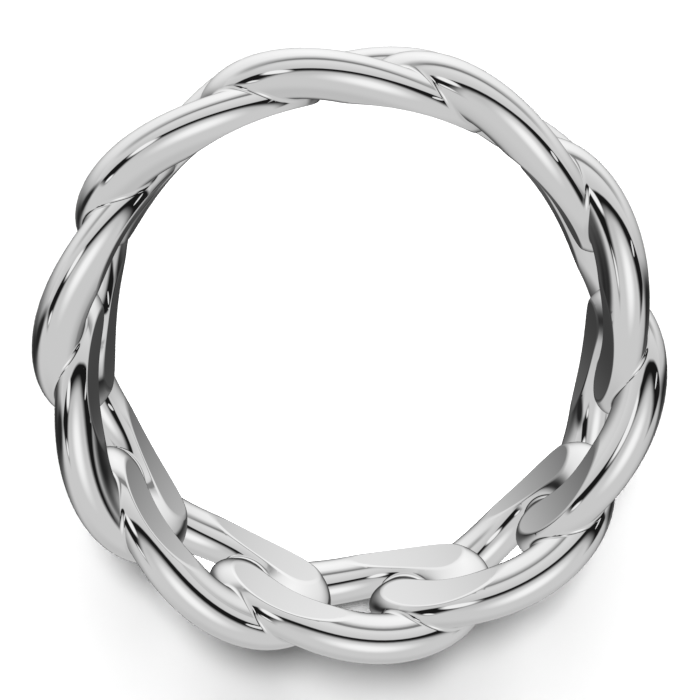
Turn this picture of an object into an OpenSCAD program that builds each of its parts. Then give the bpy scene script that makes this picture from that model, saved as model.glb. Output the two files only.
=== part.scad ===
// Chain link ring: ten flat oval links cast as one solid metal band.
// Every link is a closed loop of oval wire. One end of each arm rises outward over
// the link before it and the other end dips inward under the link after it. The
// arms are sunk into each other where they cross, and a true cylinder bored through
// the band gives the smooth inside that touches the finger. The ring lies on its
// side: its axis is +Z, and the plane z = 0 is the surface that it lies on.

/* [Finger hole] */
// Diameter of the hole for the finger
inner_d = 17.3; // [15:0.1:21]

/* [Links] */
// Number of links round the ring
links = 10; // [9:1:11]
// Distance from the bored wall to the circle that the links follow
wall_to_mid = 0.8; // [0.7:0.02:0.9]
// Length by which a link's centre line reaches past its pitch, into its neighbours
overlap = 2.2; // [2:0.05:2.4]
// Width of a link's centre line, across the band
loop_w = 5.76; // [5.4:0.02:6.2]
// Distance by which an arm rises and dips from the circle that the links follow
lift = 0.41; // [0.36:0.01:0.46]

/* [Wire] */
// Width of the oval wire, in the plane of its link
wire_w = 2.36; // [2.2:0.02:2.5]
// Thickness of the oval wire, along the ring's radius
wire_t = 1.62; // [1.5:0.02:1.7]

/* [Fineness] */
// Flat sides round the wire, a multiple of 4 so that its width and thickness are true
wire_sides = 12; // [12:4:16]
// Sections along each link's loop, a multiple of 4 so that its ends are true
loop_sections = 36; // [32:4:40]

/* [Hidden] */
mid_r = inner_d / 2 + wall_to_mid;
pitch_turn = 360 / links;
pitch = 2 * PI * mid_r / links;
loop_len = pitch + overlap;
// Half the angle round the ring that a link's centre line spans
half_turn = loop_len / 2 / mid_r * 180 / PI;
band_w = loop_w + wire_w;
// Step along the loop that gives the wire's direction
aim = 0.5;
// How far the boring cutter runs past each side of the band
cutter_run = 1;

function unit(v) = v / norm(v);

// Angle round the ring, clockwise from +Y, of the loop's centre line at angle t
function turn_at(t) = half_turn * cos(t);

// The loop's centre line: an oval laid round the ring whose arms rise and dip
function loop_point(t) =
    let (turn = turn_at(t), r = mid_r - lift * sin(2 * t))
    [r * sin(turn), r * cos(turn), loop_w / 2 * sin(t)];

// One oval section of the wire, square to the centre line, thin along the radius
function wire_section(t) =
    let (
        centre = loop_point(t),
        along = unit(loop_point(t + aim) - loop_point(t - aim)),
        radial = [sin(turn_at(t)), cos(turn_at(t)), 0],
        out = unit(radial - (radial * along) * along),
        side = cross(along, out)
    )
    [for (j = [0:wire_sides - 1])
        let (u = 360 * j / wire_sides)
        centre + wire_t / 2 * cos(u) * out + wire_w / 2 * sin(u) * side];

// One link: its sections joined into a closed loop
module link() {
    sections = [for (i = [0:loop_sections - 1]) wire_section(360 * i / loop_sections)];
    points = [for (section = sections) each section];
    faces = [for (i = [0:loop_sections - 1], j = [0:wire_sides - 1])
        let (
            i2 = (i + 1) % loop_sections,
            j2 = (j + 1) % wire_sides,
            a = i * wire_sides + j,
            b = i * wire_sides + j2,
            c = i2 * wire_sides + j2,
            d = i2 * wire_sides + j
        )
        each [[a, c, b], [a, d, c]]];
    polyhedron(points, faces);
}

// The band: the links in a circle, fused, less the bore for the finger
module link_band() {
    color("silver")
    translate([0, 0, band_w / 2])
    difference() {
        union() {
            for (i = [0:links - 1]) rotate([0, 0, -pitch_turn * i]) link();
        }
        cylinder(h = band_w + 2 * cutter_run, r = inner_d / 2, center = true, $fn = 128);
    }
}

link_band();
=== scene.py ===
import math

import bpy
import numpy as np
from mathutils import Matrix, Vector


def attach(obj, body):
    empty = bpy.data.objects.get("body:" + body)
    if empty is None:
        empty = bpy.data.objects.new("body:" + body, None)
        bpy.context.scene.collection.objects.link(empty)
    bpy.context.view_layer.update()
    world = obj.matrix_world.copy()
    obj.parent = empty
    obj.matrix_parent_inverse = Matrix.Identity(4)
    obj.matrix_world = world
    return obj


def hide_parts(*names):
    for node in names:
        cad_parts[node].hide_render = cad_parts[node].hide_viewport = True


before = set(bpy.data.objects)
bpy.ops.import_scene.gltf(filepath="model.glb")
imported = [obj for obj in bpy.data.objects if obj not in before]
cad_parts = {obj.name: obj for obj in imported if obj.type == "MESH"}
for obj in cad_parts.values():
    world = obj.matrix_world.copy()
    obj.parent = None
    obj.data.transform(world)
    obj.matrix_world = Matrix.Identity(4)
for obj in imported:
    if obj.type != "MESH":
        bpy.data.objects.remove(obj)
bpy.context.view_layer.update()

# The band is ten oval links of white metal wire that rise over and dip under one another, soldered
# into one piece and bored to a round finger hole. Polishing leaves a small hollow fillet where the
# links meet and a softened edge round the hole.
mm = 0.001
links = 10
bore_r = 8.65 * mm
wall_to_mid = 0.8 * mm
overlap = 2.2 * mm
loop_w = 5.76 * mm
lift = 0.41 * mm
wire_w = 2.36 * mm
wire_t = 1.62 * mm
crease_r = 0.13 * mm
edge_r = 0.05 * mm
mid_r = bore_r + wall_to_mid
band_w = loop_w + wire_w
pitch_turn = 2 * math.pi / links
half_turn = (pitch_turn * mid_r + overlap) / 2 / mid_r


def unit(v):
    return v / np.linalg.norm(v, axis=-1, keepdims=True)


def dot(v, w):
    return (v * w).sum(-1)


def wire_frame(t):
    """At angle t round a link: the middle of the wire, its pull and its bend along the link,
    its outer side and its flank."""
    turn = half_turn * np.cos(t)
    speed = -half_turn * np.sin(t)
    r = mid_r - lift * np.sin(2 * t)
    climb = -2 * lift * np.cos(2 * t)
    radial = np.stack([np.sin(turn), np.cos(turn), 0 * t], -1)
    across = np.stack([np.cos(turn), -np.sin(turn), 0 * t], -1)
    middle = r[:, None] * radial
    middle[:, 2] = band_w / 2 + loop_w / 2 * np.sin(t)
    pull = climb[:, None] * radial + (r * speed)[:, None] * across
    pull[:, 2] = loop_w / 2 * np.cos(t)
    bend = ((4 * lift * np.sin(2 * t) - r * speed ** 2)[:, None] * radial
            + (2 * climb * speed - r * turn)[:, None] * across)
    bend[:, 2] = -loop_w / 2 * np.sin(t)
    along = unit(pull)
    out = unit(radial - dot(radial, along)[:, None] * along)
    return middle, pull, bend, out, np.cross(along, out)


def wire_skin(t, u):
    """The point on the wire's skin at angle t round the link and u round the wire."""
    middle, _, _, out, flank = wire_frame(t)
    return (middle + wire_t / 2 * np.cos(u)[:, None] * out
            + wire_w / 2 * np.sin(u)[:, None] * flank)


def turned(v, angle):
    """Turned round the ring, clockwise from above."""
    x = v[:, 0] * np.cos(angle) + v[:, 1] * np.sin(angle)
    y = v[:, 1] * np.cos(angle) - v[:, 0] * np.sin(angle)
    return np.stack([x, y, v[:, 2]], -1)


def off_link(points, angle):
    """How far points stand off the link that is turned by an angle, and the way it faces there.
    Four Newton steps find the nearest place on the middle of the wire."""
    home = turned(points, -angle)
    t = np.arctan2((home[:, 2] - band_w / 2) / loop_w * 2,
                   np.arctan2(home[:, 0], home[:, 1]) / half_turn)
    for step in range(4):
        middle, pull, bend, _, _ = wire_frame(t)
        grip = dot(pull, pull)
        t = t + dot(home - middle, pull) / np.maximum(grip - dot(home - middle, bend), 0.3 * grip)
    middle, _, _, out, flank = wire_frame(t)
    rise = dot(home - middle, out) / wire_t * 2
    side = dot(home - middle, flank) / wire_w * 2
    size = np.hypot(rise, side)
    distance = (size - 1) * size / np.hypot(rise / wire_t * 2, side / wire_w * 2)
    u = np.arctan2(side, rise)
    facing = unit(np.cross(wire_w * np.cos(u)[:, None] * flank - wire_t * np.sin(u)[:, None] * out,
                           wire_skin(t + 0.001, u) - wire_skin(t - 0.001, u)))
    facing = facing * np.sign(dot(facing, home - middle))[:, None]
    return distance, turned(facing, angle)


def off_skins(points):
    """How far points stand off the nearer link, the further link and the wall of the finger
    hole, each with the way it faces there."""
    before = np.floor(np.arctan2(points[:, 0], points[:, 1]) / pitch_turn) * pitch_turn
    first, first_facing = off_link(points, before)
    second, second_facing = off_link(points, before + pitch_turn)
    swap = (second < first)[:, None]
    return (np.minimum(first, second), np.where(swap, second_facing, first_facing),
            np.maximum(first, second), np.where(swap, first_facing, second_facing),
            bore_r - np.hypot(points[:, 0], points[:, 1]), unit(points * (-1, -1, 0)))


def filleted(first, first_facing, second, second_facing, radius):
    """Two skins joined by a hollow fillet: how far points stand off it, and its facing."""
    a = np.maximum(radius - first, 0)
    b = np.maximum(radius - second, 0)
    reach = np.hypot(a, b)
    nearest = np.where((first < second)[:, None], first_facing, second_facing)
    between = a[:, None] * first_facing + b[:, None] * second_facing
    facing = np.where((reach > 0)[:, None], between, nearest)
    return np.maximum(radius, np.minimum(first, second)) - reach, unit(facing)


def off_band(points):
    """How far points stand off the finished band, and the way it faces there."""
    near, near_facing, far, far_facing, wall, wall_facing = off_skins(points)
    wire, wire_facing = filleted(near, near_facing, far, far_facing, crease_r)
    off, facing = filleted(-wire, -wire_facing, -wall, -wall_facing, edge_r)
    return -off, -facing


# A ring of round wire is the start, and each of its points is laid on the link's own loop.
steps_along = 104
steps_round = 36
bpy.ops.object.select_all(action="DESELECT")
bpy.ops.mesh.primitive_torus_add(major_segments=steps_along, minor_segments=steps_round,
                                 major_radius=1, minor_radius=0.25)
band = bpy.context.object
band.name = "polished_link_band"
places = np.empty(len(band.data.vertices) * 3)
band.data.vertices.foreach_get("co", places)
x, y, z = places.reshape(-1, 3).T
skin = wire_skin(np.arctan2(y, x), np.arctan2(z, np.hypot(x, y) - 1))
band.data.vertices.foreach_set("co", skin.ravel())
bpy.ops.object.mode_set(mode="EDIT")
bpy.ops.mesh.select_all(action="SELECT")
bpy.ops.mesh.normals_make_consistent(inside=False)
bpy.ops.mesh.quads_convert_to_tris(quad_method="SHORTEST_DIAGONAL")
bpy.ops.object.mode_set(mode="OBJECT")

# The other nine links are copies turned round the ring.
joined = []
for number in range(1, links):
    bpy.ops.object.duplicate()
    bpy.ops.transform.rotate(value=pitch_turn, orient_axis="Z", center_override=(0, 0, 0))
    bpy.ops.object.transform_apply()
    joined.append(bpy.context.object)

# The cutter for the finger hole is a disc drawn up in short steps, so that its wall has small
# faces. It stands past the band at both ends.
cutter_step = 0.2 * mm
spare = 0.4 * mm
bpy.ops.object.select_all(action="DESELECT")
bpy.ops.mesh.primitive_circle_add(vertices=300, radius=bore_r, fill_type="NGON",
                                  location=(0, 0, -spare))
cutter = bpy.context.object
bpy.ops.object.mode_set(mode="EDIT")
bpy.ops.mesh.select_all(action="SELECT")
for step in range(math.ceil((band_w + 2 * spare) / cutter_step)):
    bpy.ops.mesh.extrude_region_move(TRANSFORM_OT_translate={"value": (0, 0, cutter_step)})
bpy.ops.mesh.select_all(action="SELECT")
bpy.ops.mesh.normals_make_consistent(inside=False)
bpy.ops.mesh.quads_convert_to_tris(quad_method="SHORTEST_DIAGONAL")
bpy.ops.object.mode_set(mode="OBJECT")
bpy.ops.object.transform_apply()

bpy.ops.object.select_all(action="DESELECT")
band.select_set(True)
bpy.context.view_layer.objects.active = band
for tool in joined + [cutter]:
    joint = band.modifiers.new("joint", "BOOLEAN")
    joint.operation = "DIFFERENCE" if tool == cutter else "UNION"
    joint.solver = "MANIFOLD"
    joint.object = tool
    bpy.ops.object.modifier_apply(modifier="joint")
    bpy.data.objects.remove(tool)
mesh = band.data

# The joints are tidied by merging points that crowd on the sharp lines, and the points that are
# left on these lines are remembered.
sharp_turn = math.radians(20)
crowded = 0.05 * mm
bpy.ops.object.mode_set(mode="EDIT")
bpy.ops.mesh.select_mode(type="EDGE")
bpy.ops.mesh.select_all(action="DESELECT")
bpy.ops.mesh.edges_select_sharp(sharpness=sharp_turn)
bpy.ops.mesh.remove_doubles(threshold=crowded)
bpy.ops.mesh.select_all(action="SELECT")
bpy.ops.mesh.quads_convert_to_tris(quad_method="SHORTEST_DIAGONAL", ngon_method="BEAUTY")
bpy.ops.mesh.select_all(action="DESELECT")
bpy.ops.mesh.edges_select_sharp(sharpness=sharp_turn)
bpy.ops.object.mode_set(mode="OBJECT")
sharp = np.empty(len(mesh.vertices), dtype=bool)
mesh.vertices.foreach_get("select", sharp)


def read_places():
    places = np.empty(len(mesh.vertices) * 3)
    mesh.vertices.foreach_get("co", places)
    return places.reshape(-1, 3)


def write_places(places):
    mesh.vertices.foreach_set("co", places.ravel())
    mesh.update()


def lay_on(points, line, level, on_wall):
    """Lays points on their skin at a level beside a sharp line: a crease between two links, or
    the edge of the finger hole, from its wall or from the wire."""
    longest_move = 0.08 * mm
    for step in range(3):
        near, near_facing, far, far_facing, wall, wall_facing = off_skins(points)
        if line == "crease":
            own, own_facing, other, other_facing, want = near, near_facing, far, far_facing, level
        else:
            flip = on_wall[:, None]
            own = np.where(on_wall, wall, near)
            own_facing = np.where(flip, wall_facing, near_facing)
            other = np.where(on_wall, near, wall)
            other_facing = np.where(flip, near_facing, wall_facing)
            want = -level
        shared = np.clip(dot(own_facing, other_facing), -0.95, 0.95)
        slide = (want - other + shared * own) / (1 - shared ** 2)
        move = (-own - slide * shared)[:, None] * own_facing + slide[:, None] * other_facing
        size = np.linalg.norm(move, axis=-1, keepdims=True)
        points = points + move * np.minimum(1, longest_move / np.maximum(size, 1e-9))
    return points


touching = 0.01 * mm
places = read_places()
_, _, _, _, wall, _ = off_skins(places)
edge = sharp & (np.abs(wall) < touching)
crease = sharp & ~edge
places[edge] = lay_on(places[edge], "edge", 0, np.zeros(edge.sum(), dtype=bool))
places[crease] = lay_on(places[crease], "crease", 0, None)
write_places(places)

# Beside each sharp line the mesh is cut three times along lines that run level with it, which
# gives the fillets and the softened edges fine, even faces of their own.
for line, radius in (("edge", edge_r), ("crease", crease_r)):
    for level in (radius, 0.73 * radius, 0.42 * radius):
        places = read_places()
        near, _, far, _, wall, _ = off_skins(places)
        on_wall = np.abs(wall) < 0.002 * mm
        if line == "crease":
            beside = np.where(on_wall & (near < -touching), np.nan, far)
        else:
            beside = np.where(on_wall, np.maximum(-near, 0), -wall)
        snap = (np.abs(beside - level) < 0.12 * radius) & ~sharp
        places[snap] = lay_on(places[snap], line, level, on_wall[snap])
        write_places(places)
        beside[snap] = level
        ends = np.empty(len(mesh.edges) * 2, dtype=np.int32)
        mesh.edges.foreach_get("vertices", ends)
        first, second = beside[ends.reshape(-1, 2).T] - level
        bpy.ops.object.mode_set(mode="EDIT")
        bpy.ops.mesh.select_all(action="DESELECT")
        bpy.ops.object.mode_set(mode="OBJECT")
        apart = np.minimum(np.abs(first), np.abs(second)) > 1e-9
        mesh.edges.foreach_set("select", (first * second < 0) & apart)
        bpy.ops.object.mode_set(mode="EDIT")
        bpy.ops.mesh.subdivide(number_cuts=1)
        bpy.ops.object.mode_set(mode="OBJECT")
        places = read_places()
        cut = places[len(sharp):]
        near, _, _, _, wall, _ = off_skins(cut)
        places[len(sharp):] = lay_on(cut, line, level, np.abs(wall) < np.abs(near))
        write_places(places)
        sharp = np.append(sharp, np.zeros(len(places) - len(sharp), dtype=bool))

# A mirror shows the smallest error of a surface, so each point is laid on the finished skin
# and given the exact direction in which it faces there.
places = read_places()
for step in range(4):
    off, facing = off_band(places)
    places = places - off[:, None] * facing
write_places(places)
_, facing = off_band(places)
bpy.ops.object.shade_smooth()
mesh.normals_split_custom_set_from_vertices(facing.astype(np.float32))


class Shade:
    """A socket in a node tree. A sum written with it adds the Math nodes that work it out."""

    def __init__(self, tree, socket=None):
        self.tree = tree
        self.socket = socket

    def add(self, kind, settings, values, out=0):
        """A new node: its type, its settings, and the values or links of its sockets."""
        node = self.tree.nodes.new("ShaderNode" + kind)
        for name, value in settings.items():
            setattr(node, name, value)
        for name, value in values.items():
            if isinstance(value, Shade):
                self.tree.links.new(value.socket, node.inputs[name])
            else:
                node.inputs[name].default_value = value
        return Shade(self.tree, node.outputs[out])

    def math(self, operation, first, second=0.0):
        return self.add("Math", {"operation": operation}, {0: first, 1: second})

    def __add__(self, other):
        return self.math("ADD", self, other)

    def __radd__(self, other):
        return self.math("ADD", other, self)

    def __sub__(self, other):
        return self.math("SUBTRACT", self, other)

    def __rsub__(self, other):
        return self.math("SUBTRACT", other, self)

    def __mul__(self, other):
        return self.math("MULTIPLY", self, other)

    def __rmul__(self, other):
        return self.math("MULTIPLY", other, self)

    def __truediv__(self, other):
        return self.math("DIVIDE", self, other)

    def __pow__(self, other):
        return self.math("POWER", self, other)

    def __neg__(self):
        return self.math("MULTIPLY", self, -1.0)

    def smooth(self, low, high):
        """0 below low, 1 above high and a soft step between."""
        return self.add("MapRange", {"interpolation_type": "SMOOTHSTEP"},
                        {"Value": self, "From Min": low, "From Max": high})

    def dot(self, direction):
        return self.add("VectorMath", {"operation": "DOT_PRODUCT"}, {0: self, 1: direction}, "Value")


# The metal is a bright white precious metal, polished. Buffing leaves it a shade clearer in some
# places than in others, which shows only in how sharp the reflections are.
metal = bpy.data.materials.new("polished_white_metal")
metal.use_nodes = True
metal.node_tree.nodes.clear()
sheet = Shade(metal.node_tree)
spot = sheet.add("TexCoord", {}, {}, "Object")
cloud = sheet.add("TexNoise", {}, {"Vector": spot, "Scale": 420, "Detail": 3, "Roughness": 0.55}, "Fac")
grain = sheet.add("TexNoise", {}, {"Vector": spot, "Scale": 5200, "Detail": 2, "Roughness": 0.5}, "Fac")
pale = (0.858, 0.858, 0.858, 1)
paler = (0.866, 0.866, 0.866, 1)
colour = sheet.add("Mix", {"data_type": "RGBA"}, {0: cloud.smooth(0.3, 0.7), 6: pale, 7: paler}, 2)
gloss = 0.006 + 0.016 * cloud.smooth(0.42, 0.72) + 0.004 * grain
wave = sheet.add("Bump", {}, {"Strength": 0.12, "Distance": 0.0000015, "Height": cloud + 0.04 * grain},
                 "Normal")
polished = sheet.add("BsdfPrincipled", {}, {"Base Color": colour, "Metallic": 1, "Roughness": gloss,
                                            "Normal": wave}, "BSDF")
out = metal.node_tree.nodes.new("ShaderNodeOutputMaterial")
metal.node_tree.links.new(polished.socket, out.inputs["Surface"])
band.data.materials.clear()
band.data.materials.append(metal)

# The picture's metal mirrors the studio and not itself, and so does this one.
band.visible_glossy = False
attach(band, "root")
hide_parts("link_band")

# The floor is a plain white sheet that the ring lies on. The metal doesn't mirror it, since the
# studio round the ring is what shows underneath.
bpy.ops.mesh.primitive_plane_add(size=2)
floor = bpy.context.object
floor.name = "floor"
floor.visible_glossy = False
paper = bpy.data.materials.new("white_paper")
paper.use_nodes = True
paper_shader = paper.node_tree.nodes["Principled BSDF"]
paper_shader.inputs["Base Color"].default_value = (0.9, 0.9, 0.9, 1)
paper_shader.inputs["Roughness"].default_value = 0.8
floor.data.materials.append(paper)

# The studio is a pale grey tent with black cards bent round the ring and small windows of light
# between them. Only the metal mirrors the cards: the floor has a plain, dim tent over it, and
# behind the floor the tent is white.
world = bpy.data.worlds.new("studio")
bpy.context.scene.world = world
world.use_nodes = True
world.node_tree.nodes.clear()
ray = Shade(world.node_tree).add("TexCoord", {}, {}, "Generated")


def heading(turn, lean):
    """The direction that leans from the ring's axis, turned clockwise from +Y, in degrees."""
    turn, lean = math.radians(turn), math.radians(lean)
    return Vector((math.sin(lean) * math.sin(turn), math.sin(lean) * math.cos(turn), math.cos(lean)))


def away(turn, lean):
    """The angle between the ray and a heading, in degrees."""
    return ray.math("ARCCOSINE", ray.dot(heading(turn, lean))) * math.degrees(1)


def disc(turn, lean, radius, soft):
    """A round card or light: 1 inside, 0 outside."""
    return 1 - away(turn, lean).smooth(radius - soft, radius + soft)


def oval(turn, lean, length, width, twist, soft):
    """An oval card or light, twisted from its own outward direction."""
    centre = heading(turn, lean)
    outward = heading(turn, lean + 90)
    spin = Matrix.Rotation(math.radians(twist), 3, centre)
    u = ray.dot(spin @ outward) / math.sin(math.radians(length))
    v = ray.dot(spin @ centre.cross(outward)) / math.sin(math.radians(width))
    shape = 1 - ((u * u + v * v) ** 0.5).smooth(1 - soft, 1 + soft)
    return shape * ray.dot(centre).smooth(0, 0.1)


def hang(light, level, shape):
    """Hangs a card or light of a brightness in front of what is there."""
    return light + (level - light) * shape


x = ray.dot((1, 0, 0))
y = ray.dot((0, 1, 0))
tent = 0.67 - 0.09 * y.smooth(-0.3, 0.3)
light = hang(tent, 1.16, disc(-4.5, 135.5, 40.5, 80))
light = hang(light, 1.03, disc(116.5, 12.5, 22, 16))

# A dark strip runs along the back, and the great black card arches over the ring from the left
# to the right. It hangs wider at its two feet.
strip = away(82, 7) - 101
strip = 1 - strip.math("ABSOLUTE", strip).smooth(-11.5, 18.5)
light = hang(light, 0.18, strip * disc(-1, 95, 57, 11.5))
left_foot = (-x).smooth(0.45, 0.9)
right_foot = x.smooth(0.4, 0.95)
arch = away(166, 37) - 84.5
above = 1 - (arch - 4 * left_foot - 2.5 * right_foot).smooth(-2.5, 1.5)
below = (arch + 16 + 9 * left_foot + 7.5 * right_foot).smooth(-7.5, 7.5)
light = hang(light, 0.01, above * below * disc(9.5, 47.5, 91.5, 4.5))

# Smaller black cards hang low at the left, low at the right and under the front.
light = hang(light, 0.05, oval(252.5, 131.5, 24.5, 15, 10.5, 0.9))
light = hang(light, 0.03, oval(128.5, 149.5, 55, 11.5, -46, 0.3))
light = hang(light, 0, oval(172.5, 162, 23, 44.5, 7.5, 0.9))

# Windows of light: one high at the left and two small ones at the sides.
light = hang(light, 0.83, oval(73, 70.5, 3.5, 6.5, 113.5, 0.1))
light = hang(light, 1, oval(298, 50, 11, 9.5, 56, 0.3))
light = hang(light, 0.94, oval(255, 59.5, 5, 4.5, -36.5, 0.4))

# Three last cards low down: black at the left, grey at the back and pale at the front.
light = hang(light, 0.02, oval(259.5, 105, 23, 9, 19.5, 0.5))
light = hang(light, 0.25, oval(3, 99, 43.5, 4.5, 96, 0.4))
light = hang(light, 0.58, oval(182, 120, 39, 32, 54.5, 0.5))

dim = 0.12
mirrored = ray.add("LightPath", {}, {}, "Is Glossy Ray")
seen = ray.add("LightPath", {}, {}, "Is Camera Ray")
level = dim + (light - dim) * mirrored + (1 - dim) * seen
glow = ray.add("Background", {}, {"Color": (1, 1, 1, 1), "Strength": level})
out = world.node_tree.nodes.new("ShaderNodeOutputWorld")
world.node_tree.links.new(glow.socket, out.inputs["Surface"])

# The metal mirrors none of the lamps, which light the floor. A high key and a low back light throw
# a soft shadow to the front. One spot keeps the finger hole bright, and two narrow ones shine from
# the camera through the open links at the lower left and the lower right.
for kind, name, place, aim, energy, spread in (
        ("SUN", "key", (0, 0.022, 0.042), (0, 0, 0), 2.45, 12),
        ("SUN", "back_light", (0, 0.04, 0.03), (0, 0, 0), 2.4, 40),
        ("SPOT", "hole_spot", (0, 0, 0.02), (0, 0, 0), 0.027, 54),
        ("SPOT", "left_gap_spot", (0, 0.0109, 0.058), (-0.0056, -0.0093, 0), 0.45, 2.4),
        ("SPOT", "right_gap_spot", (0, 0.0109, 0.058), (0.0063, -0.0089, 0), 0.45, 2.4)):
    lamp_data = bpy.data.lights.new(name, kind)
    lamp_data.energy = energy
    if kind == "SUN":
        lamp_data.angle = math.radians(spread)
    else:
        lamp_data.spot_size = math.radians(spread)
        lamp_data.spot_blend = 0.12
        lamp_data.shadow_soft_size = 0.001
    lamp = bpy.data.objects.new(name, lamp_data)
    bpy.context.collection.objects.link(lamp)
    lamp.location = place
    lamp.rotation_euler = (Vector(place) - Vector(aim)).to_track_quat("Z", "Y").to_euler()
    lamp.visible_glossy = False
    lamp.visible_camera = False

# The camera hangs over the far rim and looks down through the finger hole, at the picture's angle
# to the ring. Its distance is taken from the middle of the band.
tilt = 0.19845
distance = 0.05508
camera_data = bpy.data.cameras.new("camera")
camera = bpy.data.objects.new("camera", camera_data)
bpy.context.collection.objects.link(camera)
camera_data.sensor_width = 36
camera_data.lens = 80.9
camera_data.clip_start = 0.001
camera.location = (0, distance * math.sin(tilt), band_w / 2 + distance * math.cos(tilt))
camera.rotation_euler = (-tilt, 0, 0)
bpy.context.scene.camera = camera
bpy.context.scene.view_settings.view_transform = "Standard"
